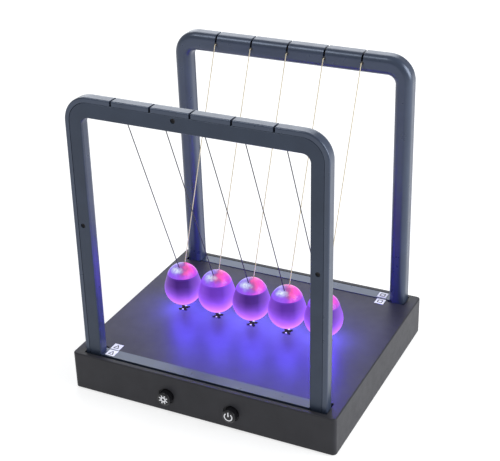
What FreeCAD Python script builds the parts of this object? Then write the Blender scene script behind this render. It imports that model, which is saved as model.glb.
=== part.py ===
import FreeCAD, Part
import math
import os

# Light-up Newton's cradle: five hanging light balls between two upright frames on a box base.
# Millimetres. X runs along the row of balls, Y from the button side to the back, Z up.
# Everything is drawn about the row of balls (Y = 0) and written MID_Y further back, so
# that the origin is the bottom centre of the whole object's box, buttons included.

# ---- driving dimensions ----
PITCH = 25.0              # between the swing axes of neighbouring balls
BALL_COUNT = 5
BALL_R = 12.35            # leaves 0.3 between neighbours
BALL_Z = 42.9             # centre of the balls
PIVOT_Z = 190.6           # height of the swing axes
WIRE_R = 0.3

FOOT_H = 1.1              # feet stand this far below the base
BASE_W = 177.8
BASE_D = 151.4
BASE_H = 25.1
BASE_CORNER = 2.6
BASE_WALL = 2.2

FRAME_HALF = 81.7         # half the width over both legs
FRAME_TOP = 196.4
FRAME_DEPTH = 9.8
FACE_Y = 71.1             # outer flat face of each frame, where it leaves the base
LEAN = 0.82               # degrees that each frame leans in over the balls
BAR = 11.0                # width of the legs, seen from the front
TOP_BAR = 12.4            # height of the top bar
CORNER_OUT = 16.0
SHOULDER = 4.2            # rounding towards the balls
STRIP_DEPTH = 8.0         # flat bottom strip of the frame
STRIP_RAISE = 0.5         # stands this far above the base top

BUTTON_X = 22.1
BUTTON_Z = 11.7
BUTTON_R = 4.45
BUTTON_OUT = 4.2          # stands this far out of the front
BUTTON_TRAVEL = 0.8

# ---- worked out from those ----
BASE_TOP = FOOT_H + BASE_H
BASE_FRONT = -BASE_D / 2
MID_Y = BUTTON_OUT / 2
STRIP_TOP = BASE_TOP + STRIP_RAISE
STRIP_H = 7.3
LEG_BOTTOM = STRIP_TOP - STRIP_H
LEAN_SHIFT = (PIVOT_Z - BASE_TOP) * math.tan(math.radians(LEAN))
PIVOT_FACE_Y = FACE_Y - LEAN_SHIFT   # outer face of each frame at the swing axes
BALL_X = [(i - (BALL_COUNT - 1) / 2) * PITCH for i in range(BALL_COUNT)]

FRAME_WALL = 1.8
COVER_T = 1.9
COVER_SEAT = 2.0          # depth of the rebate that holds the cover
LIP = 3.0                 # rim left outside the cover
GAP = 0.15                # around the cover
SLIT = 1.3                # width of the wire slits
BORE_R = 1.2              # ferrule bore in the frame

POCKET_CLEAR = 0.3
POCKET_FRONT = FACE_Y + 1.5
POCKET_BACK = FACE_Y - FRAME_DEPTH - POCKET_CLEAR
STRIP_BACK = FACE_Y - STRIP_DEPTH - POCKET_CLEAR
POCKET_FLOOR = LEG_BOTTOM
RIB = 1.6                 # wall round the pockets and the battery box

FLOOR_T = 2.0
FLOOR_TOP = FOOT_H + FLOOR_T
CELL_R = 7.15
CELL_L = 50.5
BOX_W = 3 * 2 * CELL_R + 1.2
BOX_L = CELL_L + 6.0
BOX_TOP = 17.6

LEAD_X = FRAME_HALF - 2.7   # the feed leads run up the legs here, clear of the screw bosses
LEAD_Y = FACE_Y - 5.35

V = FreeCAD.Vector


def box(x0, x1, y0, y1, z0, z1):
    return Part.makeBox(x1 - x0, y1 - y0, z1 - z0, V(x0, y0, z0))


def rod(radius, start, direction, length):
    return Part.makeCylinder(radius, length, V(*start), V(*direction))


def joined(shapes):
    return shapes[0].multiFuse(shapes[1:]).removeSplitter()


def turned(shape):
    """The same piece for the other side: half a turn about the vertical."""
    copy = shape.copy()
    copy.rotate(V(0, 0, 0), V(0, 0, 1), 180)
    return copy


def rounded_block(width, depth, z0, z1, radius):
    block = box(-width / 2, width / 2, -depth / 2, depth / 2, z0, z1)
    upright = [e for e in block.Edges if abs(e.Vertexes[0].Z - e.Vertexes[1].Z) > 1e-6]
    return block.makeFillet(radius, upright)


def leaned(shape):
    """A piece of the front frame, drawn upright, tilted in with it."""
    copy = shape.copy()
    copy.rotate(V(0, -FACE_Y, BASE_TOP), V(1, 0, 0), -LEAN)
    return copy


def write(name, shapes):
    whole = Part.makeCompound(shapes) if isinstance(shapes, list) else shapes.copy()
    whole.translate(V(0, MID_Y, 0))
    if not whole.isValid():
        raise RuntimeError(name + " is not a valid shape")
    whole.exportStep(os.path.join("parts", name + ".step"))
    print(f"{name:24s} {len(whole.Solids):3d} solids {whole.Volume:10.2f} mm3")


# ---- tubes for wires ----
def tangent_route(points, radii):
    """Straight runs joined by tangent arcs: one arc of the given radius at each inner point."""
    pts = [V(*p) for p in points]
    edges = []
    at = pts[0]
    for corner, after, radius in zip(pts[1:-1], pts[2:], radii):
        into = (corner - at).normalize()
        out = (after - corner).normalize()
        turn = into.getAngle(out)
        back = radius * math.tan(turn / 2)
        begin = corner - into * back
        end = corner + out * back
        bisector = (out - into).normalize()
        middle = corner + bisector * (radius / math.cos(turn / 2) - radius)
        edges.append(Part.LineSegment(at, begin).toShape())
        edges.append(Part.Arc(begin, middle, end).toShape())
        at = end
    edges.append(Part.LineSegment(at, pts[-1]).toShape())
    return Part.Wire(edges)


def tube(points, radii, r):
    route = tangent_route(points, radii)
    start = V(*points[0])
    along = V(*points[1]) - start
    ring = Part.Wire(Part.makeCircle(r, start, along))
    solid = route.makePipeShell([ring], True, False)
    expected = math.pi * r * r * route.Length
    if abs(solid.Volume / expected - 1) > 0.03:
        raise RuntimeError(f"tube volume {solid.Volume:.2f} against {expected:.2f}")
    print(f"    tube {route.Length:7.1f} mm long, arcs {radii}")
    return solid


# ---- frames: an arch that hugs a rounded outline, built for the front ----
def arch(inset, depth, y0, bottom, lowered=0.0):
    """A solid arch, inset from the frame's outline, extruded from y0 by depth."""
    half = FRAME_HALF - inset
    top = FRAME_TOP - inset - lowered
    r = CORNER_OUT - inset
    bend = r * (1 - math.sqrt(0.5))
    left = [V(-half, y0, top - r), V(-half + bend, y0, top - bend), V(-half + r, y0, top)]
    right = [V(half - r, y0, top), V(half - bend, y0, top - bend), V(half, y0, top - r)]
    foot_left = V(-half, y0, bottom)
    foot_right = V(half, y0, bottom)
    outline = Part.Wire([
        Part.LineSegment(foot_left, left[0]).toShape(),
        Part.Arc(*left).toShape(),
        Part.LineSegment(left[2], right[0]).toShape(),
        Part.Arc(*right).toShape(),
        Part.LineSegment(right[2], foot_right).toShape(),
        Part.LineSegment(foot_right, foot_left).toShape(),
    ])
    return Part.Face(outline).extrude(V(0, depth, 0))


def band(inner, outer, depth, y0, bottom):
    """The strip of the frame between two insets from its outline."""
    hole = arch(inner, depth + 2, y0 - 1, bottom - 1, TOP_BAR - BAR)
    return arch(outer, depth, y0, bottom).cut(hole)


def edges_on(shape, y, above):
    """Edges in the plane at y, except those across the feet of the arch."""
    found = []
    for e in shape.Edges:
        ends = [v.Point for v in e.Vertexes]
        flat = all(abs(p.y - y) < 1e-6 for p in ends)
        if flat and max(p.z for p in ends) > above + 1e-6:
            found.append(e)
    return found


def cover_screw_places():
    """Centres of the three screws that hold a cover: one in each leg, one in the top bar."""
    leg_z = BASE_TOP + 88.7
    leg_x = FRAME_HALF - 6.4
    return [(-leg_x, leg_z), (leg_x, leg_z), (-10.6, PIVOT_Z)]


def frame_ring():
    front = -FACE_Y
    rear = front + FRAME_DEPTH
    low = LEG_BOTTOM - 1          # cut off level below, once it leans
    ring = band(BAR, 0, FRAME_DEPTH, front, low)
    ring = ring.makeFillet(SHOULDER, edges_on(ring, rear, low))
    outer_rim = [e for e in edges_on(ring, front, low) if reaches_outline(e)]
    ring = ring.makeFillet(0.9, outer_rim)
    channel_depth = FRAME_DEPTH - COVER_SEAT - FRAME_WALL
    channel = band(BAR - FRAME_WALL, FRAME_WALL, channel_depth, front + COVER_SEAT, low - 1)
    rebate = band(BAR + 2, LIP, COVER_SEAT + 1, front - 1, low - 1)
    ring = ring.cut(channel).cut(rebate)
    half = FRAME_HALF - BAR
    strip_rear = front + STRIP_DEPTH
    strip = [
        box(-half + 0.2, half - 0.2, front, strip_rear, low, STRIP_TOP),
        box(-half - 0.8, half + 0.8, front + COVER_SEAT + 0.2, strip_rear, low, STRIP_TOP),
    ]
    bosses = []
    pilots = []
    for x, z in cover_screw_places():
        start = (x, front + COVER_SEAT, z)
        bosses.append(rod(1.8, start, (0, 1, 0), channel_depth + 0.5))
        pilots.append(rod(0.85, start, (0, 1, 0), channel_depth))
    ring = joined([ring] + strip + bosses).cut(Part.makeCompound(pilots))
    pivot_front = -PIVOT_FACE_Y
    cuts = [box(-100, 100, front - 5, rear + 5, low - 5, LEG_BOTTOM)]
    for x in BALL_X:
        slit_rear = pivot_front + FRAME_DEPTH + 2
        cuts.append(box(x - SLIT / 2, x + SLIT / 2, pivot_front - 2, slit_rear, PIVOT_Z, FRAME_TOP + 1))
        cuts.append(rod(BORE_R, (x, pivot_front + COVER_SEAT + 1, PIVOT_Z), (0, 1, 0), FRAME_DEPTH))
    for x in FRAME_SCREW_X:
        cuts.append(rod(1.25, (x, front + STRIP_DEPTH / 2, LEG_BOTTOM - 1), (0, 0, 1), 6.5))
    return leaned(ring).cut(Part.makeCompound(cuts))


def reaches_outline(edge):
    """True for an edge on the frame's outer outline, not on its inner one."""
    p = edge.valueAt((edge.FirstParameter + edge.LastParameter) / 2)
    inner_half = FRAME_HALF - BAR / 2
    inner_top = FRAME_TOP - BAR / 2
    return abs(p.x) > inner_half or p.z > inner_top


def frame_cover():
    front = -FACE_Y
    low = LEG_BOTTOM - 1
    plate = band(BAR, LIP + GAP, COVER_T, front, low)
    face_edges = edges_on(plate, front, low)
    plate = plate.makeFillet(0.7, [e for e in face_edges if not near_lip(e)])
    plate = plate.makeChamfer(0.25, [e for e in edges_on(plate, front, low) if near_lip(e)])
    holes = []
    for x, z in cover_screw_places():
        holes.append(rod(1.5, (x, front - 1, z), (0, 1, 0), 2.2))
        holes.append(rod(0.95, (x, front - 1, z), (0, 1, 0), COVER_T + 2))
    plate = leaned(plate.cut(Part.makeCompound(holes)))
    return plate.cut(box(-100, 100, front - 5, front + 5, low - 5, LEG_BOTTOM))


def near_lip(edge):
    """True for an edge of the cover that faces the frame's lip."""
    p = edge.valueAt((edge.FirstParameter + edge.LastParameter) / 2)
    middle = (BAR + LIP) / 2
    return abs(p.x) > FRAME_HALF - middle or p.z > FRAME_TOP - middle


def cover_screws():
    front = -FACE_Y
    screws = []
    for x, z in cover_screw_places():
        head = rod(1.35, (x, front + 0.55, z), (0, 1, 0), 0.65)
        recess = box(x - 0.25, x + 0.25, front, front + 0.85, z - 0.9, z + 0.9)
        recess = recess.fuse(box(x - 0.9, x + 0.9, front, front + 0.85, z - 0.25, z + 0.25))
        shank = rod(0.75, (x, front + 1.2, z), (0, 1, 0), 4.2)
        screws.append(leaned(head.cut(recess).fuse(shank)))
    return screws


def bus_strip():
    """Metal strip behind the top bar's front: every wire of that frame hooks through it."""
    y0 = -PIVOT_FACE_Y + 6.0
    half = 2 * PITCH + 6.0
    strip = box(-half, half, y0, y0 + 0.4, PIVOT_Z - 2.8, PIVOT_Z + 2.8)
    holes = [rod(0.4, (x, y0 - 1, PIVOT_Z), (0, 1, 0), 3) for x in BALL_X]
    holes += [rod(2.0, (x, y0 - 1, z), (0, 1, 0), 3) for x, z in cover_screw_places()[2:]]
    return strip.cut(Part.makeCompound(holes))


# ---- swing: ferrules, wires and light balls ----
FERRULE_R = 1.12
KNOT_R = 0.65
BEND_R = 0.9
BEND_Y = PIVOT_FACE_Y - FRAME_DEPTH - 1.2
WIRE_END_Y = 1.6
CAP_SPLIT = 10.2          # above the ball's centre
BOARD_TOP = CAP_SPLIT - 0.05
BOARD_R = 8.3
BOARD_T = 0.9
SHELL_T = 1.3
CAP_T = 1.8
CAP_TOP = 16.6
SLOPE = math.radians(17)  # latitude where the sphere runs on as a cone


def ferrule(x):
    """Bush in the front frame's bore, with a flange inside, that the wire turns in."""
    inner = -PIVOT_FACE_Y + FRAME_DEPTH - FRAME_WALL
    outer = -PIVOT_FACE_Y + FRAME_DEPTH + 0.15
    barrel = rod(FERRULE_R, (x, inner - 0.05, PIVOT_Z), (0, 1, 0), outer - inner + 0.05)
    flange = rod(1.6, (x, inner - 0.55, PIVOT_Z), (0, 1, 0), 0.5)
    bore = rod(WIRE_R + 0.08, (x, inner - 2, PIVOT_Z), (0, 1, 0), 5)
    return barrel.fuse(flange).cut(bore)


def hanging_wire(x, side):
    """side is -1 for the front wire and 1 for the back wire."""
    knot = V(x, side * (PIVOT_FACE_Y - 5.2), PIVOT_Z)
    bend = (x, side * BEND_Y, PIVOT_Z)
    end = (x, side * WIRE_END_Y, BALL_Z + BOARD_TOP + 0.05)
    wire = tube([(knot.x, knot.y, knot.z), bend, end], [BEND_R], WIRE_R)
    return wire.fuse(Part.makeSphere(KNOT_R, knot))


def turned_profile(points_and_arcs, x):
    """Revolve an outline drawn in radius and height about the vertical through a ball."""
    edges = []
    for kind, *pts in points_and_arcs:
        pts = [V(r, 0, z) for r, z in pts]
        make = Part.Arc if kind == "arc" else Part.LineSegment
        edges.append(make(*pts).toShape())
    solid = Part.Face(Part.Wire(edges)).revolve(V(0, 0, 0), V(0, 0, 1), 360)
    solid.translate(V(x, 0, BALL_Z))
    return solid


def on_circle(radius, height, angle):
    return radius * math.cos(angle), height + radius * math.sin(angle)


def cone_point(thickness, height):
    """Where the straight slope, that far below the outer skin, is at that height."""
    reach = BALL_R - thickness
    return (reach - height * math.sin(SLOPE)) / math.cos(SLOPE), height


def ball_shell(x):
    """Frosted lower part: a sphere that runs on as a cone, cut off level."""
    low = -math.pi / 2
    turn = (low + SLOPE) / 2
    outer = [on_circle(BALL_R, 0, a) for a in (low, turn, SLOPE)]
    inner = [on_circle(BALL_R - SHELL_T, 0, a) for a in (SLOPE, turn, low)]
    outer_rim = cone_point(0, CAP_SPLIT)
    inner_rim = cone_point(SHELL_T, CAP_SPLIT)
    return turned_profile([
        ("arc", *outer),
        ("line", outer[-1], outer_rim),
        ("line", outer_rim, inner_rim),
        ("line", inner_rim, inner[0]),
        ("arc", *inner),
        ("line", inner[-1], outer[0]),
    ], x)


def ball_cap(x):
    """Clear upper part: a dome on the rim of the shell."""
    rim = cone_point(0, CAP_SPLIT)[0]
    rise = CAP_TOP - CAP_SPLIT
    outer_r = (rise * rise + rim * rim) / (2 * rise)
    middle_z = CAP_TOP - outer_r
    inner_r = outer_r - CAP_T
    top = math.pi / 2
    outer_low = math.asin((CAP_SPLIT - middle_z) / outer_r)
    inner_low = math.asin((CAP_SPLIT - middle_z) / inner_r)
    outer = [on_circle(outer_r, middle_z, a) for a in (outer_low, (outer_low + top) / 2, top)]
    inner = [on_circle(inner_r, middle_z, a) for a in (top, (inner_low + top) / 2, inner_low)]
    cap = turned_profile([
        ("arc", *outer),
        ("line", outer[-1], inner[0]),
        ("arc", *inner),
        ("line", inner[-1], outer[0]),
    ], x)
    for side in (-1, 1):
        bend = V(x, side * BEND_Y, PIVOT_Z)
        end = V(x, side * WIRE_END_Y, BALL_Z + BOARD_TOP)
        along = (bend - end).normalize()
        cap = cap.cut(rod(WIRE_R + 0.15, end + along, along, 14))
    return cap


def ball_board(x):
    return rod(BOARD_R, (x, 0, BALL_Z + BOARD_TOP - BOARD_T), (0, 0, 1), BOARD_T)


def ball_leds(x):
    """Two light chips above the board and two below it."""
    chips = []
    half = 1.25
    tall = 1.1
    for cx in (x - 3.2, x + 3.2):
        for z0 in (BALL_Z + BOARD_TOP, BALL_Z + BOARD_TOP - BOARD_T - tall):
            chips.append(box(cx - half, cx + half, -half, half, z0, z0 + tall))
    return chips


# ---- base ----
FRAME_SCREW_X = (-50.0, 0.0, 50.0)
POST_R = 3.2
LABEL = 6.2
DOOR_SCREW_X = BOX_L / 2 + RIB + 2.6
TONGUE_HALF = 6.0


def post_places():
    """The posts that the floor screws into: three along each short side."""
    return [(side * 79.0, y) for side in (-1, 1) for y in (-50.0, 0.0, 50.0)]


def frame_pocket(grow, z0, z1):
    """Room in the base top for the front frame: a slot for its strip, deeper at both legs."""
    half = FRAME_HALF + POCKET_CLEAR + grow
    leg_in = FRAME_HALF - BAR - POCKET_CLEAR - grow
    low_y = -POCKET_FRONT - grow
    return joined([
        box(-half, half, low_y, -STRIP_BACK + grow, z0, z1),
        box(-half, -leg_in, low_y, -POCKET_BACK + grow, z0, z1),
        box(leg_in, half, low_y, -POCKET_BACK + grow, z0, z1),
    ])


def marker_cross(x, grow, z0, z1):
    """A cross of two bars at half a right angle to the row."""
    arms = []
    long_half = 3.6 + grow
    short_half = 0.8 + grow
    for angle in (45, -45):
        bar = box(-long_half, long_half, -short_half, short_half, z0, z1)
        bar.rotate(V(0, 0, 0), V(0, 0, 1), angle)
        bar.translate(V(x, 0, 0))
        arms.append(bar)
    return joined(arms)


def base_shell():
    shell = rounded_block(BASE_W, BASE_D, FOOT_H, BASE_TOP, BASE_CORNER)
    top_rim = [e for e in shell.Edges if all(abs(v.Z - BASE_TOP) < 1e-6 for v in e.Vertexes)]
    shell = shell.makeFillet(0.8, top_rim)
    inside = rounded_block(BASE_W - 2 * BASE_WALL, BASE_D - 2 * BASE_WALL, FOOT_H - 1,
                           BASE_TOP - BASE_WALL, BASE_CORNER - 1)
    shell = shell.cut(inside)
    seat = frame_pocket(RIB, POCKET_FLOOR - RIB, BASE_TOP - 1)
    seat = seat.common(box(-100, 100, -BASE_D / 2 + 1, 0, 0, 100))
    extra = [seat, turned(seat)]
    for x, y in post_places():
        extra.append(rod(POST_R, (x, y, FLOOR_TOP + 0.1), (0, 0, 1), BASE_TOP - FLOOR_TOP - 1))
    shell = joined([shell] + extra)
    cuts = []
    pocket = frame_pocket(0, POCKET_FLOOR, BASE_TOP + 1)
    cuts += [pocket, turned(pocket)]
    for x, y in post_places():
        cuts.append(rod(1.2, (x, y, FLOOR_TOP - 1), (0, 0, 1), 9))
    for x in FRAME_SCREW_X:
        for side in (-1, 1):
            y = side * (FACE_Y - STRIP_DEPTH / 2)
            cuts.append(rod(1.65, (x, y, POCKET_FLOOR - 3), (0, 0, 1), 6))
    for side in (-1, 1):
        cuts.append(rod(1.3, (LEAD_X, side * LEAD_Y, POCKET_FLOOR - 3), (0, 0, 1), 6))
    for x in (-BUTTON_X, BUTTON_X):
        cuts.append(rod(BUTTON_R + 0.1, (x, BASE_FRONT - 1, BUTTON_Z), (0, 1, 0), 6))
        cuts.append(rod(BUTTON_R + 1.0, (x, BASE_FRONT - 1, BUTTON_Z), (0, 1, 0), 1.8))
    for x in BALL_X:
        cuts.append(marker_cross(x, 0.05, BASE_TOP - 1.0, BASE_TOP + 1))
    return shell.cut(Part.makeCompound(cuts))


def board_guides():
    """Slotted rails on the floor that hold the ends of the control board."""
    rails = []
    for side in (-1, 1):
        rail = box(31.6, 35.6, PANEL_Y - PANEL_T - 1.5, PANEL_Y + 1.5, FLOOR_TOP - 0.5, 14.0)
        slot = box(31.0, PANEL_HALF + 0.1, PANEL_Y - PANEL_T - 0.1, PANEL_Y + 0.1, PANEL_LOW - 0.1, 15.0)
        rail = rail.cut(slot)
        rails.append(rail if side > 0 else rail.mirror(V(0, 0, 0), V(1, 0, 0)))
    return rails


def base_floor():
    gap = 0.2
    width = BASE_W - 2 * BASE_WALL - 2 * gap
    depth = BASE_D - 2 * BASE_WALL - 2 * gap
    floor = rounded_block(width, depth, FOOT_H, FLOOR_TOP, BASE_CORNER - 1)
    half_w = BOX_W / 2
    half_l = BOX_L / 2
    walls = box(-half_l - RIB, half_l + RIB, -half_w - RIB, half_w + RIB, FLOOR_TOP - 0.5, BOX_TOP + RIB)
    boss = rod(3.0, (DOOR_SCREW_X, 0, FLOOR_TOP - 0.5), (0, 0, 1), 8.0)
    floor = joined([floor, walls, boss] + board_guides())
    cuts = [box(-half_l, half_l, -half_w, half_w, FOOT_H - 1, BOX_TOP)]
    cuts.append(door_plate(0.2, FOOT_H - 1, FOOT_H + 1.2))
    slot_half = TONGUE_HALF + 0.3
    cuts.append(box(-half_l - 2, -half_l + 1, -slot_half, slot_half, FLOOR_TOP, FLOOR_TOP + 1.5))
    cuts.append(rod(1.2, (DOOR_SCREW_X, 0, FOOT_H - 1), (0, 0, 1), 9))
    for x, y in post_places():
        cuts.append(rod(1.6, (x, y, FOOT_H - 1), (0, 0, 1), 9))
        cuts.append(rod(3.0, (x, y, FOOT_H - 1), (0, 0, 1), 1.9))
    for x, y in foot_places():
        cuts.append(rod(5.1, (x, y, FOOT_H - 1), (0, 0, 1), 1.6))
    return floor.cut(Part.makeCompound(cuts))


def door_plate(grow, z0, z1):
    """The battery door's outline, with a lobe at one end for its screw."""
    half_w = BOX_W / 2 + 1.8 + grow
    half_l = BOX_L / 2 + 2.8 + grow
    plate = box(-half_l, half_l, -half_w, half_w, z0, z1)
    lobe = rod(4.5 + grow, (DOOR_SCREW_X, 0, z0), (0, 0, 1), z1 - z0)
    return plate.fuse(lobe).removeSplitter()


def battery_door():
    """Screwed at one end, hooked under the floor by a tongue at the other."""
    half_l = BOX_L / 2
    door = door_plate(0, FOOT_H, FOOT_H + 1.15)
    web = box(-half_l + 0.3, -half_l + 1.8, -TONGUE_HALF, TONGUE_HALF, FOOT_H + 1, FLOOR_TOP + 1.2)
    tongue = box(-half_l - 3, -half_l + 1.8, -TONGUE_HALF, TONGUE_HALF, FLOOR_TOP + 0.1, FLOOR_TOP + 1.2)
    grips = [box(x, x + 0.8, -9, 9, FOOT_H - 0.1, FOOT_H + 0.35) for x in (-22, -20, -18, -16)]
    hole = rod(1.4, (DOOR_SCREW_X, 0, FOOT_H - 1), (0, 0, 1), 4)
    seat = rod(2.5, (DOOR_SCREW_X, 0, FOOT_H - 1), (0, 0, 1), 1.6)
    return joined([door, web, tongue]).cut(Part.makeCompound(grips + [hole, seat]))


def foot_places():
    return [(sx * 70.0, sy * 54.0) for sx in (-1, 1) for sy in (-1, 1)]


def rubber_feet():
    feet = []
    for x, y in foot_places():
        foot = rod(5.0, (x, y, 0), (0, 0, 1), FOOT_H + 0.55)
        lowest = [e for e in foot.Edges if e.Curve.TypeId == "Part::GeomCircle" and e.Vertexes[0].Z < 1e-6]
        feet.append(foot.makeFillet(0.4, lowest))
    return feet


def crossed_screw(x, y, z, head_r, head_t, shank_r, length):
    """A pan head screw driven upwards, with a cross recess in its underside."""
    head = rod(head_r, (x, y, z), (0, 0, 1), head_t)
    arm = head_r * 0.6
    slot = box(x - arm, x + arm, y - 0.3, y + 0.3, z - 1, z + head_t * 0.5)
    slot = slot.fuse(box(x - 0.3, x + 0.3, y - arm, y + arm, z - 1, z + head_t * 0.5))
    return head.cut(slot).fuse(rod(shank_r, (x, y, z + head_t), (0, 0, 1), length))


def base_screws():
    screws = [crossed_screw(x, y, FOOT_H + 0.1, 2.8, 0.75, 1.1, 8.0) for x, y in post_places()]
    for x in FRAME_SCREW_X:
        for side in (-1, 1):
            y = side * (FACE_Y - STRIP_DEPTH / 2)
            screws.append(crossed_screw(x, y, POCKET_FLOOR - RIB - 1.3, 2.6, 1.25, 1.15, 6.4))
    screws.append(crossed_screw(DOOR_SCREW_X, 0, FOOT_H, 2.3, 0.55, 1.1, 6.0))
    return screws


def battery_cells():
    cells = []
    step = 2 * CELL_R + 0.4
    z = FOOT_H + 1.6 + CELL_R
    for i, way in zip((-1, 0, 1), (1, -1, 1)):
        can = rod(CELL_R, (-way * (CELL_L / 2), i * step, z), (way, 0, 0), CELL_L - 1.2)
        nub = rod(2.6, (way * (CELL_L / 2 - 1.2), i * step, z), (way, 0, 0), 1.2)
        cells.append(can.fuse(nub))
    return cells


def battery_contacts():
    """A plate at each end of each cell, with a sprung cone at the flat end."""
    contacts = []
    step = 2 * CELL_R + 0.4
    z = FOOT_H + 1.6 + CELL_R
    wall = BOX_L / 2
    for i, way in zip((-1, 0, 1), (1, -1, 1)):
        y = i * step
        for end in (-1, 1):
            x0 = end * (wall - 0.45) if end > 0 else -wall + 0.05
            plate = box(x0, x0 + 0.4, y - 5, y + 5, z - 5, z + 5)
            reach = wall - 0.45 - CELL_L / 2 - 0.05
            start = (end * (wall - 0.45), y, z)
            if end == way:
                bump = Part.makeCone(2.2, 1.6, reach, V(*start), V(-end, 0, 0))
            else:
                bump = Part.makeCone(4.4, 2.6, reach, V(*start), V(-end, 0, 0))
            contacts.append(plate.fuse(bump))
    return contacts


# ---- switches, board and leads ----
PANEL_Y = -60.8           # rear face of the control board
PANEL_T = 1.2
PANEL_HALF = 34.0
PANEL_LOW = 3.6
SWITCH_T = 3.5
STEM_END = PANEL_Y - PANEL_T - SWITCH_T - BUTTON_TRAVEL - 0.1
LEAD_R = 0.55


def control_board():
    """Board on edge behind the buttons, with a chip, a capacitor and the battery lead's socket."""
    board = box(-PANEL_HALF, PANEL_HALF, PANEL_Y - PANEL_T, PANEL_Y, PANEL_LOW, 16.8)
    chip = box(-5, 5, PANEL_Y, PANEL_Y + 1.6, 7, 14)
    can = rod(2.5, (13, PANEL_Y, 10), (0, 1, 0), 5.5)
    socket = box(-26, -18, PANEL_Y, PANEL_Y + 4, 6, 11)
    return [board, chip, can, socket]


def switch_bodies():
    bodies = []
    rear = PANEL_Y - PANEL_T
    for x in (-BUTTON_X, BUTTON_X):
        body = box(x - 3, x + 3, rear - SWITCH_T, rear, BUTTON_Z - 3, BUTTON_Z + 3)
        bodies.append(body.cut(rod(1.7, (x, rear - SWITCH_T - 1, BUTTON_Z), (0, 1, 0), 4.0)))
    return bodies


def switch_plunger(x):
    return rod(1.6, (x, STEM_END, BUTTON_Z), (0, 1, 0), BUTTON_TRAVEL + 2.1)


def push_button(x):
    front = BASE_FRONT - BUTTON_OUT
    inner_wall = BASE_FRONT + BASE_WALL
    cap = rod(BUTTON_R, (x, front, BUTTON_Z), (0, 1, 0), inner_wall - front + 0.2)
    rim = [e for e in cap.Edges if e.Curve.TypeId == "Part::GeomCircle" and e.Vertexes[0].Y < front + 1e-6]
    cap = cap.makeFillet(1.1, rim)
    flange = rod(5.4, (x, inner_wall + 0.05, BUTTON_Z), (0, 1, 0), 1.0)
    stem = rod(1.5, (x, inner_wall, BUTTON_Z), (0, 1, 0), STEM_END - inner_wall)
    return joined([cap, flange, stem])


def feed_lead(side):
    """Lead from the board, across the base, up the right leg and along to the bus strip."""
    y = side * LEAD_Y
    top_y = side * (LEAD_Y - LEAN_SHIFT)
    z = 12.2
    level = PIVOT_Z + 1.2
    if side < 0:
        points = [(29, PANEL_Y + 0.05, z), (29, -54, z), (70, -54, z), (LEAD_X, y, z)]
        radii = [4.0, 6.0, 5.0]
    else:
        points = [(25, PANEL_Y + 0.05, z), (25, -51, z), (64, -51, z), (68, 48, z), (LEAD_X, y, z)]
        radii = [4.0, 9.0, 8.0, 5.0]
    points += [(LEAD_X, top_y, level), (2 * PITCH + 2.6, top_y, level)]
    radii.append(12.0)
    return tube(points, radii, LEAD_R)


def battery_lead(x):
    """From a battery contact's side of the box to the board's socket."""
    high = 12.0
    low = 8.5
    points = [(x, -BOX_W / 2 - RIB - 0.05, high), (x, -34, high), (x, -40, low), (x, PANEL_Y + 4.05, low)]
    return tube(points, [4.0, 4.0], LEAD_R)


def wiring():
    return [feed_lead(-1), feed_lead(1), battery_lead(-21.0), battery_lead(-23.4)]


def labels():
    """Four square stickers: a pair by the front left foot and a pair by the back right one."""
    thick = 0.15
    half = LABEL / 2
    places = [(-65.1, -FACE_Y + STRIP_DEPTH / 2, STRIP_TOP), (-66.0, -STRIP_BACK + 0.3 + half, BASE_TOP)]
    pair = [box(x - half, x + half, y - half, y + half, z, z + thick) for x, y, z in places]
    pair[0] = leaned(pair[0])
    return pair + [turned(label) for label in pair]


# ---- write every node ----
def main():
    os.makedirs("parts", exist_ok=True)
    write("base_shell", base_shell())
    write("base_floor", base_floor())
    write("battery_door", battery_door())
    write("rubber_feet", rubber_feet())
    write("base_screws", base_screws())
    write("battery_cells", battery_cells())
    write("battery_contacts", battery_contacts())
    write("control_board", control_board())
    write("switch_bodies", switch_bodies())
    write("wiring", wiring())
    write("base_markers", [marker_cross(x, 0, BASE_TOP - 0.95, BASE_TOP + 0.25) for x in BALL_X])
    write("labels", labels())
    for name, x in (("light", -BUTTON_X), ("power", BUTTON_X)):
        write(name + "_button", push_button(x))
        write(name + "_switch_plunger", switch_plunger(x))
    ring = frame_ring()
    cover = frame_cover()
    strip = bus_strip()
    screws = cover_screws()
    write("front_frame", ring)
    write("front_frame_cover", cover)
    write("front_bus_strip", strip)
    write("back_frame", turned(ring))
    write("back_frame_cover", turned(cover))
    write("back_bus_strip", turned(strip))
    write("cover_screws", screws + [turned(s) for s in screws])
    for i, x in enumerate(BALL_X):
        number = str(i + 1)
        write("ball_shell_" + number, ball_shell(x))
        write("ball_cap_" + number, ball_cap(x))
        write("ball_board_" + number, ball_board(x))
        write("ball_leds_" + number, ball_leds(x))
        write("front_wire_" + number, hanging_wire(x, -1))
        write("back_wire_" + number, hanging_wire(x, 1))
        bushes = [ferrule(x), turned(ferrule(-x))]
        if i in (0, BALL_COUNT - 1):
            write("front_ferrule_" + number, bushes[0])
            write("back_ferrule_" + number, bushes[1])
        else:
            write("ferrules_" + number, bushes)


main()
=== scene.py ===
import math

import bmesh
import bpy
from mathutils import Matrix, Vector


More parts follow.
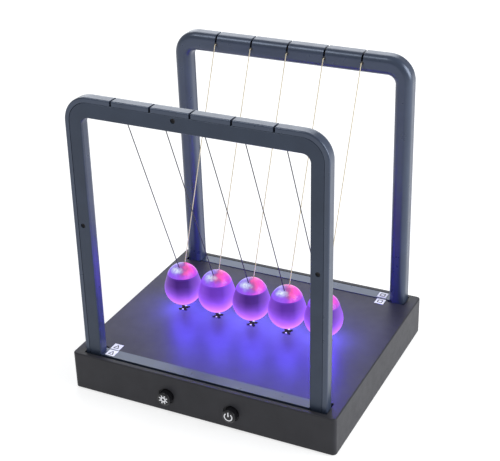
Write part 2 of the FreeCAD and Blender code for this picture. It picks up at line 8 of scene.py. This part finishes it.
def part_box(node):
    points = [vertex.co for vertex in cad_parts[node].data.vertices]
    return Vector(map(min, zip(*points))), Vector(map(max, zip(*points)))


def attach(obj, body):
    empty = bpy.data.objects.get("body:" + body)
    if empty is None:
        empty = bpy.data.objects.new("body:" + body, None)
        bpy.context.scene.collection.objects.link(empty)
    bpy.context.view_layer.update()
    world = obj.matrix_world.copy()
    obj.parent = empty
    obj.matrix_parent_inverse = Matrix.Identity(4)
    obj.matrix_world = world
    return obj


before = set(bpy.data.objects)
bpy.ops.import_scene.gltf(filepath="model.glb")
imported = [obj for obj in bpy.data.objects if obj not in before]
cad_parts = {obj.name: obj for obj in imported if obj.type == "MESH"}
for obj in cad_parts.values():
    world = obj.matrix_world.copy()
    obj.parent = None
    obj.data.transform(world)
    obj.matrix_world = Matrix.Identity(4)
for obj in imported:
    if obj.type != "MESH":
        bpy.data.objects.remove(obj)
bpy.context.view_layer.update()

MM = 0.001
BALLS = (1, 2, 3, 4, 5)


# ---- node material helpers ----
class Surface:
    """A Principled material whose inputs are set by name or fed from small node chains."""

    def __init__(self, name, **values):
        self.material = bpy.data.materials.new(name)
        self.material.use_nodes = True
        self.tree = self.material.node_tree
        self.shader = self.tree.nodes["Principled BSDF"]
        self.coords = self.node("ShaderNodeTexCoord").outputs["Object"]
        for key, value in values.items():
            self.shader.inputs[key.replace("_", " ")].default_value = value

    def node(self, kind, **settings):
        made = self.tree.nodes.new(kind)
        for key, value in settings.items():
            setattr(made, key, value)
        return made

    def link(self, out, into):
        self.tree.links.new(out, into)

    def feed(self, key, out):
        self.link(out, self.shader.inputs[key])

    def noise(self, size_mm, detail=3.0):
        """Noise whose blobs are about size_mm across."""
        made = self.node("ShaderNodeTexNoise")
        made.inputs["Scale"].default_value = 1.0 / (size_mm * MM)
        made.inputs["Detail"].default_value = detail
        self.link(self.coords, made.inputs["Vector"])
        return made.outputs["Fac"]

    def ramp(self, value, stops):
        """stops is a list of (position, colour) pairs."""
        made = self.node("ShaderNodeValToRGB")
        marks = made.color_ramp.elements
        marks[0].position, marks[1].position = stops[0][0], stops[-1][0]
        marks[0].color, marks[1].color = (*stops[0][1], 1.0), (*stops[-1][1], 1.0)
        for place, colour in stops[1:-1]:
            marks.new(place).color = (*colour, 1.0)
        self.link(value, made.inputs["Fac"])
        return made.outputs["Color"]

    def remap(self, value, low, high, to_low, to_high):
        made = self.node("ShaderNodeMapRange")
        for key, number in zip(("From Min", "From Max", "To Min", "To Max"), (low, high, to_low, to_high)):
            made.inputs[key].default_value = number
        self.link(value, made.inputs["Value"])
        return made.outputs["Result"]

    def math(self, operation, a, b):
        made = self.node("ShaderNodeMath", operation=operation)
        self.link(a, made.inputs[0])
        self.link(b, made.inputs[1])
        return made.outputs["Value"]

    def vector(self, operation, place, fixed):
        """A vector operation between a linked vector and a fixed one."""
        made = self.node("ShaderNodeVectorMath", operation=operation)
        made.inputs[1].default_value = fixed
        self.link(place, made.inputs[0])
        return made.outputs["Value" if operation == "DISTANCE" else "Vector"]

    def blend(self, factor, a, b, kind="MIX"):
        """Mix a into b; each of the three is a number, a colour or a linked output."""
        made = self.node("ShaderNodeMix", data_type="RGBA", blend_type=kind)
        for key, value in (("Factor", factor), ("A", a), ("B", b)):
            slot = made.inputs[key]
            if isinstance(value, (int, float)):
                slot.default_value = value
            elif isinstance(value, tuple):
                slot.default_value = (*value, 1.0)
            else:
                self.link(value, slot)
        return made.outputs["Result"]

    def bump(self, height, depth_mm):
        made = self.node("ShaderNodeBump")
        made.inputs["Distance"].default_value = depth_mm * MM
        made.inputs["Strength"].default_value = 1.0
        self.link(height, made.inputs["Height"])
        self.feed("Normal", made.outputs["Normal"])

    def axis(self, which):
        made = self.node("ShaderNodeSeparateXYZ")
        self.link(self.coords, made.inputs[0])
        return made.outputs[which]


CLOUD_MM = 14.0
WANDER_MM = 5.0


def moulded(name, colour, grain_mm, bump_mm, roughness, spread=0.12, **values):
    """Slight cloudiness, a fine grain and a roughness that wanders; plastic, rubber and metal all use it."""
    s = Surface(name, **values)
    cloud = s.noise(CLOUD_MM, 4.0)
    dark = tuple(c * (1 - spread) for c in colour)
    light = tuple(c * (1 + spread) for c in colour)
    s.feed("Base Color", s.ramp(cloud, [(0.3, dark), (0.7, light)]))
    s.feed("Roughness", s.remap(s.noise(WANDER_MM, 5.0), 0.3, 0.7, *roughness))
    s.bump(s.noise(grain_mm, 2.0), bump_mm)
    return s


# ---- materials ----
BLUISH = (0.74, 0.83, 1.0, 1.0)

# each call: name, colour, size of the grain in mm, depth of its bumps in mm, lowest and highest roughness
base_plastic = moulded("base_plastic", (0.027, 0.027, 0.032), 0.45, 0.03, (0.42, 0.48),
                       Specular_IOR_Level=0.20)
frame_plastic = moulded("frame_plastic", (0.026, 0.036, 0.062), 0.5, 0.012, (0.27, 0.34),
                        Specular_IOR_Level=0.8, Specular_Tint=BLUISH)
cover_plastic = moulded("cover_plastic", (0.022, 0.031, 0.052), 0.5, 0.012, (0.34, 0.42),
                        Specular_IOR_Level=0.5, Specular_Tint=BLUISH)
button_plastic = moulded("button_plastic", (0.010, 0.010, 0.012), 1.5, 0.004, (0.2, 0.28),
                         Specular_IOR_Level=0.32)
marker_plastic = moulded("marker_plastic", (0.004, 0.004, 0.006), 0.8, 0.01, (0.6, 0.7),
                         Specular_IOR_Level=0.1)
inner_plastic = moulded("inner_plastic", (0.11, 0.11, 0.12), 0.6, 0.03, (0.5, 0.6))
foot_rubber = moulded("foot_rubber", (0.022, 0.022, 0.022), 0.25, 0.02, (0.75, 0.9))
screw_steel = moulded("screw_steel", (0.02, 0.02, 0.023), 0.15, 0.01, (0.45, 0.6), Metallic=0.6)
contact_steel = moulded("contact_steel", (0.62, 0.60, 0.56), 0.2, 0.01, (0.25, 0.4), Metallic=1.0)
strip_brass = moulded("strip_brass", (0.72, 0.52, 0.22), 0.2, 0.005, (0.25, 0.4), Metallic=1.0)
# black: the painted shade of the wire holes that the ferrules sit in
ferrule_black = moulded("ferrule_black", (0.02, 0.02, 0.025), 0.2, 0.005, (0.25, 0.4))
cell_sleeve = moulded("cell_sleeve", (0.05, 0.09, 0.16), 2.0, 0.003, (0.2, 0.3))
led_lens = moulded("led_lens", (0.8, 0.78, 0.7), 0.5, 0.003, (0.15, 0.3),
                   Emission_Color=(1.0, 0.85, 1.0, 1.0), Emission_Strength=2.5)
wire_dark = moulded("wire_dark", (0.012, 0.013, 0.02), 0.3, 0.003, (0.25, 0.4))
wire_pale = moulded("wire_pale", (0.62, 0.54, 0.38), 0.3, 0.003, (0.25, 0.4), Metallic=0.3)
lead_sleeve = moulded("lead_sleeve", (0.2, 0.02, 0.02), 0.4, 0.01, (0.4, 0.5))
sticker = moulded("sticker", (0.80, 0.82, 0.86), 0.2, 0.006, (0.3, 0.45), spread=0.05)
ink_white = moulded("ink_white", (0.78, 0.79, 0.82), 0.3, 0.004, (0.4, 0.5), spread=0.05)
ink_dark = moulded("ink_dark", (0.03, 0.03, 0.04), 0.3, 0.004, (0.4, 0.5))
# pale grey for the painted glints on the base markers
painted_glint = moulded("painted_glint", (0.6, 0.6, 0.66), 0.3, 0.005, (0.2, 0.3), Metallic=0.6)


def board_material():
    """Solder mask over faint copper tracks."""
    s = Surface("board_green")
    tracks = s.node("ShaderNodeTexBrick")
    tracks.inputs["Scale"].default_value = 90.0
    tracks.inputs["Mortar Size"].default_value = 0.03
    tracks.inputs["Color1"].default_value = (0.02, 0.10, 0.04, 1)
    tracks.inputs["Color2"].default_value = (0.03, 0.13, 0.05, 1)
    tracks.inputs["Mortar"].default_value = (0.05, 0.20, 0.09, 1)
    s.link(s.coords, tracks.inputs["Vector"])
    s.feed("Base Color", tracks.outputs["Color"])
    s.feed("Roughness", s.remap(s.noise(2.0), 0.3, 0.7, 0.25, 0.4))
    return s


def ball_centre(number):
    """Centre and radius of a ball, from its lower shell."""
    low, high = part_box(f"ball_shell_{number}")
    radius = (high[0] - low[0]) / 2
    return Vector(((low[0] + high[0]) / 2, (low[1] + high[1]) / 2, low[2] + radius)), radius


# extra light that comes through the whole shell of each ball
FILL = {1: 0.0, 2: 0.30, 3: 0.02, 4: 0.17, 5: 0.17}
# level direction from a ball's left side to its right one, turned 27 degrees from the row
SIDE_X = 0.89
SIDE_Y = 0.45


def sideways(s, centre, radius):
    """How far a point lies along the side direction: -1 at the left of the ball, 1 at its right."""
    across = s.remap(s.axis("X"), centre.x - radius, centre.x + radius, -SIDE_X, SIDE_X)
    along = s.remap(s.axis("Y"), centre.y - radius, centre.y + radius, -SIDE_Y, SIDE_Y)
    return s.math("ADD", across, along)


def frosted_material(number):
    """Painted glow of the light inside: dark violet high up, brighter and pinker to the bottom, and a
    painted sheen makes both sides brighter.
    """
    centre, radius = ball_centre(number)
    s = Surface(f"ball_frosted_{number}", Roughness=0.45, Specular_IOR_Level=0.15, Sheen_Weight=0.1,
                Sheen_Roughness=0.3, Sheen_Tint=(1.0, 0.40, 1.0, 1.0))
    height = s.remap(s.axis("Z"), centre.z - radius, centre.z + radius, 0.0, 1.0)
    level = s.math("ADD", height, s.remap(s.noise(7.0, 1.0), 0.3, 0.7, -0.02, 0.02))
    glow = s.ramp(level, [
        (0.00, (1.00, 0.34, 1.00)),
        (0.17, (0.82, 0.26, 1.00)),
        (0.32, (0.54, 0.145, 0.94)),
        (0.41, (0.34, 0.10, 0.82)),
        (0.50, (0.19, 0.055, 0.56)),
        (0.59, (0.10, 0.024, 0.34)),
        (0.70, (0.045, 0.006, 0.17)),
        (0.86, (0.040, 0.005, 0.15)),
        (0.93, (0.08, 0.015, 0.32)),
    ])
    # painted sheen: the emission is raised towards the left and right limbs of the ball, along the fixed
    # side direction
    side = sideways(s, centre, radius)
    right = s.remap(side, 0.30, 0.97, 0.0, 0.52)
    left = s.remap(side, -0.30, -0.97, 0.0, 0.30)
    painted_limb_sheen = s.math("ADD", right, left)
    filled = s.blend(FILL[number], glow, (0.28, 0.07, 1.0), "ADD")
    # the diffuse colour is darker towards the top
    s.feed("Base Color", s.ramp(level, [(0.0, (0.05, 0.03, 0.08)), (1.0, (0.015, 0.010, 0.04))]))
    s.feed("Emission Color", s.blend(painted_limb_sheen, filled, (0.46, 0.17, 1.0), "ADD"))
    s.shader.inputs["Emission Strength"].default_value = 1.0
    s.bump(s.noise(0.6, 2.0), 0.01)
    return s


def clear_material(number):
    """Clear cap over the light chips, their light painted on as glow: violet, a painted bluish white glow
    spot on the left, hot pink on the right.
    """
    centre, radius = ball_centre(number)
    s = Surface(f"ball_clear_{number}", Roughness=0.16, Specular_IOR_Level=0.15)
    swirl = s.remap(s.noise(6.0, 2.0), 0.3, 0.7, -0.14, 0.14)
    level = s.math("ADD", s.remap(sideways(s, centre, radius), -0.72, 0.72, 0.0, 1.0), swirl)
    top = s.ramp(level, [
        (0.05, (0.22, 0.13, 0.80)),
        (0.24, (0.36, 0.30, 0.88)),
        (0.38, (0.22, 0.14, 0.60)),
        (0.50, (0.36, 0.07, 0.34)),
        (0.62, (0.90, 0.08, 0.40)),
        (0.78, (1.00, 0.08, 0.70)),
        (0.95, (0.74, 0.06, 0.72)),
    ])
    skirt = s.ramp(level, [
        (0.10, (0.28, 0.07, 0.92)),
        (0.45, (0.34, 0.05, 0.88)),
        (0.66, (0.72, 0.09, 0.86)),
        (0.90, (0.48, 0.05, 0.76)),
    ])
    low = s.remap(s.axis("Z"), centre.z + 0.86 * radius, centre.z + 1.20 * radius, 1.0, 0.0)
    ragged = s.math("ADD", low, s.remap(s.noise(4.0, 1.0), 0.35, 0.65, -0.25, 0.15))
    body = s.blend(s.remap(ragged, 0.25, 0.75, 0.0, 0.9), top, skirt)
    # painted glow of the bluish white chip seen through the cap, round a stretched place near the top
    stretch = Vector((0.55, 1.0, 1.3))
    chip = (centre + Vector((-0.10, -0.47, 1.18)) * radius) * stretch
    distance = s.vector("DISTANCE", s.vector("MULTIPLY", s.coords, stretch), chip)
    painted_chip_glow = s.remap(distance, 0.02 * radius, 0.26 * radius, 1.15, 0.0)
    patchy_chip_glow = s.math("MULTIPLY", painted_chip_glow, s.remap(s.noise(1.8, 1.0), 0.38, 0.62, 0.35, 1.0))
    s.feed("Emission Color", s.blend(patchy_chip_glow, body, (0.80, 0.92, 1.0)))
    s.feed("Base Color", s.ramp(level, [(0.0, (0.05, 0.05, 0.08)), (1.0, (0.08, 0.03, 0.06))]))
    s.shader.inputs["Emission Strength"].default_value = 0.95
    s.feed("Alpha", s.remap(s.noise(2.4, 1.0), 0.3, 0.7, 0.86, 0.99))
    s.bump(s.noise(1.8, 1.0), 0.05)
    return s


MATERIAL_OF = {
    "base_shell": base_plastic, "base_floor": inner_plastic, "battery_door": inner_plastic,
    "rubber_feet": foot_rubber, "base_screws": screw_steel, "battery_cells": cell_sleeve,
    "battery_contacts": contact_steel, "control_board": board_material(), "switch_bodies": button_plastic,
    "wiring": lead_sleeve, "base_markers": marker_plastic, "labels": sticker,
    "front_frame": frame_plastic, "back_frame": frame_plastic,
    "front_frame_cover": cover_plastic, "back_frame_cover": cover_plastic,
    "front_bus_strip": strip_brass, "back_bus_strip": strip_brass, "cover_screws": screw_steel,
    "light_button": button_plastic, "power_button": button_plastic,
    "light_switch_plunger": inner_plastic, "power_switch_plunger": inner_plastic,
}
# every node that isn't named here or below is a ferrule, painted black as the shade of its wire hole
for number in BALLS:
    MATERIAL_OF[f"ball_shell_{number}"] = frosted_material(number)
    MATERIAL_OF[f"ball_cap_{number}"] = clear_material(number)
    MATERIAL_OF[f"ball_board_{number}"] = MATERIAL_OF["control_board"]
    MATERIAL_OF[f"ball_leds_{number}"] = led_lens
    MATERIAL_OF[f"front_wire_{number}"] = wire_dark
    MATERIAL_OF[f"back_wire_{number}"] = wire_pale
for name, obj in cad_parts.items():
    surface = MATERIAL_OF.get(name, ferrule_black)
    obj.data.materials.clear()
    obj.data.materials.append(surface.material)


# ---- light of the balls ----
# name, how far below the ball's centre and how large (both in ball radii), and power in watts
BALL_LAMPS = (("glow", 0.66, 0.35, 0.27), ("spill", 0.1, 0.5, 0.06))
LAMP_BLUE = (0.11, 0.075, 1.0)


def add_ball_lights():
    """Two lamps in each ball: a strong one that lights the base only and a weak one for everything near."""
    receivers = bpy.data.collections.new("glow_receivers")
    receivers.objects.link(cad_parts["base_shell"])
    for number in BALLS:
        for part in ("shell", "cap", "board", "leds"):
            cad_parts[f"ball_{part}_{number}"].visible_shadow = False
        centre, radius = ball_centre(number)
        for name, drop, size, power in BALL_LAMPS:
            lamp = bpy.data.lights.new(f"{name}_{number}", "POINT")
            lamp.color = LAMP_BLUE
            lamp.energy = power
            lamp.shadow_soft_size = radius * size
            holder = bpy.data.objects.new(f"{name}_{number}", lamp)
            holder.location = centre - Vector((0, 0, drop * radius))
            if name == "glow":
                holder.light_linking.receiver_collection = receivers
            bpy.context.scene.collection.objects.link(holder)
            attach(holder, f"ball_{number}")


add_ball_lights()


# ---- small pieces: button marks, sticker marks and painted glints on the markers ----
RIGHT = Vector((1, 0, 0))
BACK = Vector((0, 1, 0))
UP = Vector((0, 0, 1))
SUNK_MM = 0.05


def flat_piece(name, patches, place, up, raised_mm, surface, body):
    """Thin raised piece: each patch is a closed outline in mm, drawn at place with its x to the right."""
    normal = RIGHT.cross(up)
    top = place + normal * raised_mm * MM
    shape = bmesh.new()
    for outline in patches:
        front = [shape.verts.new(top + (RIGHT * a + up * b) * MM) for a, b in outline]
        rear = [shape.verts.new(v.co - normal * (raised_mm + SUNK_MM) * MM) for v in front]
        shape.faces.new(front)
        shape.faces.new(rear[::-1])
        for i in range(len(front)):
            j = (i + 1) % len(front)
            shape.faces.new((front[i], rear[i], rear[j], front[j]))
    bmesh.ops.recalc_face_normals(shape, faces=shape.faces)
    mesh = bpy.data.meshes.new(name)
    shape.to_mesh(mesh)
    shape.free()
    mesh.materials.append(surface.material)
    piece = bpy.data.objects.new(name, mesh)
    bpy.context.scene.collection.objects.link(piece)
    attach(piece, body)


def on_circle(radius, degrees):
    """The point at this radius and angle, counted from the right-hand side upwards."""
    angle = math.radians(degrees)
    return radius * math.cos(angle), radius * math.sin(angle)


def arc_patches(inner, outer, start, end, steps):
    """A curved band cut into short four-cornered patches; angles in degrees."""
    patches = []
    for i in range(steps):
        a, b = (start + (end - start) * k / steps for k in (i, i + 1))
        patches.append([on_circle(inner, a), on_circle(outer, a), on_circle(outer, b), on_circle(inner, b)])
    return patches


def bar_patch(start, end, width):
    """A straight bar between two points."""
    a, b = Vector(start), Vector(end)
    along = (b - a).normalized()
    side = Vector((-along.y, along.x)) * width / 2
    return [tuple(corner) for corner in (a + side, a - side, b - side, b + side)]


# the buttons' marks in mm: inner and outer radius of each ring, start and end of each bar
SUN_RING = (0.95, 1.85)
SUN_RAY = (1.75, 3.0)
SUN_RAYS = 8
POWER_RING = (2.15, 2.85)
POWER_GAP = 76
POWER_BAR = (0.1, 3.1)
BAR_WIDTH = 0.75
RING_STEPS = 40
MARK_RAISED = 0.06


def add_button_marks():
    """A sun on the light button, and on the power button a ring with a gap at the top and a bar in it."""
    sun = arc_patches(*SUN_RING, 0, 360, RING_STEPS)
    for ray in range(SUN_RAYS):
        angle = (ray + 0.5) * 360 / SUN_RAYS
        start, end = (on_circle(radius, angle) for radius in SUN_RAY)
        sun.append(bar_patch(start, end, BAR_WIDTH))
    power = arc_patches(*POWER_RING, 90 + POWER_GAP / 2, 450 - POWER_GAP / 2, RING_STEPS)
    start, end = ((0, height) for height in POWER_BAR)
    power.append(bar_patch(start, end, BAR_WIDTH))
    for name, patches in (("light", sun), ("power", power)):
        low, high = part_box(f"{name}_button")
        centre = Vector(((low[0] + high[0]) / 2, low[1], (low[2] + high[2]) / 2))
        flat_piece(f"{name}_mark", patches, centre, UP, MARK_RAISED, ink_white, f"{name}_button")


# middle of each sticker in mm, with y from the row of balls; the frames' stickers lean with the frames
STICKERS = (
    ("frame_left", "triangle", -65.1, -67.1, 26.80, -1),
    ("base_left", "triangle", -66.0, -59.4, 26.35, 0),
    ("frame_right", "square", 65.1, 67.1, 26.80, 1),
    ("base_right", "square", 66.0, 59.4, 26.35, 0),
)
FRAME_LEAN = math.radians(0.82)
OUTLINE_WIDTH = 0.6
PRINT_RAISED = 0.05


def add_sticker_marks():
    """Simple marks, the same on both stickers of a pair: a triangle at the left, a square at the right."""
    corners = {
        "triangle": [(-1.6, -1.6), (1.6, -1.6), (0.0, 1.8)],
        "square": [(-1.5, -1.5), (1.5, -1.5), (1.5, 1.5), (-1.5, 1.5)],
    }
    row = ball_centre(3)[0].y
    for name, shape, x, y, z, lean in STICKERS:
        points = corners[shape]
        patches = [bar_patch(a, b, OUTLINE_WIDTH) for a, b in zip(points, points[1:] + points[:1])]
        tilt = FRAME_LEAN * lean
        up = Vector((0, math.cos(tilt), math.sin(tilt)))
        place = Vector((x * MM, row + y * MM, z * MM))
        flat_piece(f"sticker_mark_{name}", patches, place, up, PRINT_RAISED, ink_dark, "base")


# size, spacing and height of the pale discs that paint the glints, in mm
GLINT_RADIUS = 0.6
GLINT_APART = 4.6
GLINT_RAISED = 0.35


def add_marker_glints():
    """Two pale discs stand in each dark marker on the base: painted glints where the light catches the
    marker.
    """
    low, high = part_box("base_markers")
    middle = (low[1] + high[1]) / 2
    outline = [on_circle(GLINT_RADIUS, 30 * k) for k in range(12)]
    for number in BALLS:
        x = ball_centre(number)[0].x
        for side, shift in (("front", -GLINT_APART / 2), ("back", GLINT_APART / 2)):
            place = Vector((x, middle + shift * MM, high[2]))
            flat_piece(f"marker_glint_{number}_{side}", [outline], place, BACK, GLINT_RAISED, painted_glint, "base")


add_button_marks()
add_sticker_marks()
add_marker_glints()


# ---- stage, lights and camera ----
WHITE = (1.0, 1.0, 1.0, 1.0)


def add_stage():
    """A pale floor that glows a little, under an even white sky."""
    bpy.ops.mesh.primitive_plane_add(size=8.0, location=(0, 0, 0))
    floor = bpy.context.object
    floor.name = "floor"
    s = Surface("floor_paper", Roughness=0.9, Emission_Color=WHITE, Emission_Strength=0.70)
    s.feed("Base Color", s.ramp(s.noise(60.0, 3.0), [(0.3, (0.38, 0.38, 0.38)), (0.7, (0.42, 0.42, 0.42))]))
    floor.data.materials.append(s.material)
    world = bpy.data.worlds.new("studio")
    bpy.context.scene.world = world
    world.use_nodes = True
    sky = world.node_tree.nodes["Background"]
    sky.inputs["Color"].default_value = WHITE
    sky.inputs["Strength"].default_value = 0.46


def direction(azimuth, elevation):
    """From the object outwards. Azimuth 0 is in front and a quarter turn is at the right; in radians."""
    level = math.cos(elevation)
    return Vector((math.sin(azimuth) * level, -math.cos(azimuth) * level, math.sin(elevation)))


SOFTBOX_COLOUR = (0.93, 0.96, 1.0)


def add_softbox(name, azimuth, elevation, distance, size, power):
    """A square soft light that looks at the middle of the object; angles in degrees."""
    aim = Vector((0, 0, 0.09))
    away = direction(math.radians(azimuth), math.radians(elevation))
    lamp = bpy.data.lights.new(name, "AREA")
    lamp.size = size
    lamp.energy = power
    lamp.color = SOFTBOX_COLOUR
    holder = bpy.data.objects.new(name, lamp)
    holder.location = aim + away * distance
    holder.rotation_euler = away.to_track_quat("Z", "Y").to_euler()
    bpy.context.scene.collection.objects.link(holder)


def add_camera():
    """The view from the front right, with the camera turned a little about its own axis."""
    azimuth, elevation, roll = 0.4626, 0.4705, -0.0279
    place = Vector((0.29058, -0.58011, 0.42495))
    back = direction(azimuth, elevation)
    right = (-back).cross(UP).normalized()
    up = right.cross(-back)
    c, s = math.cos(roll), math.sin(roll)
    turned_right = right * c + up * s
    turned_up = up * c - right * s
    data = bpy.data.cameras.new("camera")
    data.sensor_width = 36.0
    data.lens = 84.43
    data.clip_start = 0.01
    camera = bpy.data.objects.new("camera", data)
    pose = Matrix((turned_right, turned_up, back)).transposed().to_4x4()
    pose.translation = place
    camera.matrix_world = pose
    bpy.context.scene.collection.objects.link(camera)
    bpy.context.scene.camera = camera


add_stage()
add_softbox("softbox_back", 206, 24, 1.6, 1.3, 10.8)
add_softbox("softbox_right", 100, 25, 1.3, 0.9, 19.0)
add_softbox("softbox_front", -43, 55, 1.5, 0.5, 5.0)
add_camera()
bpy.context.scene.view_settings.view_transform = "Standard"
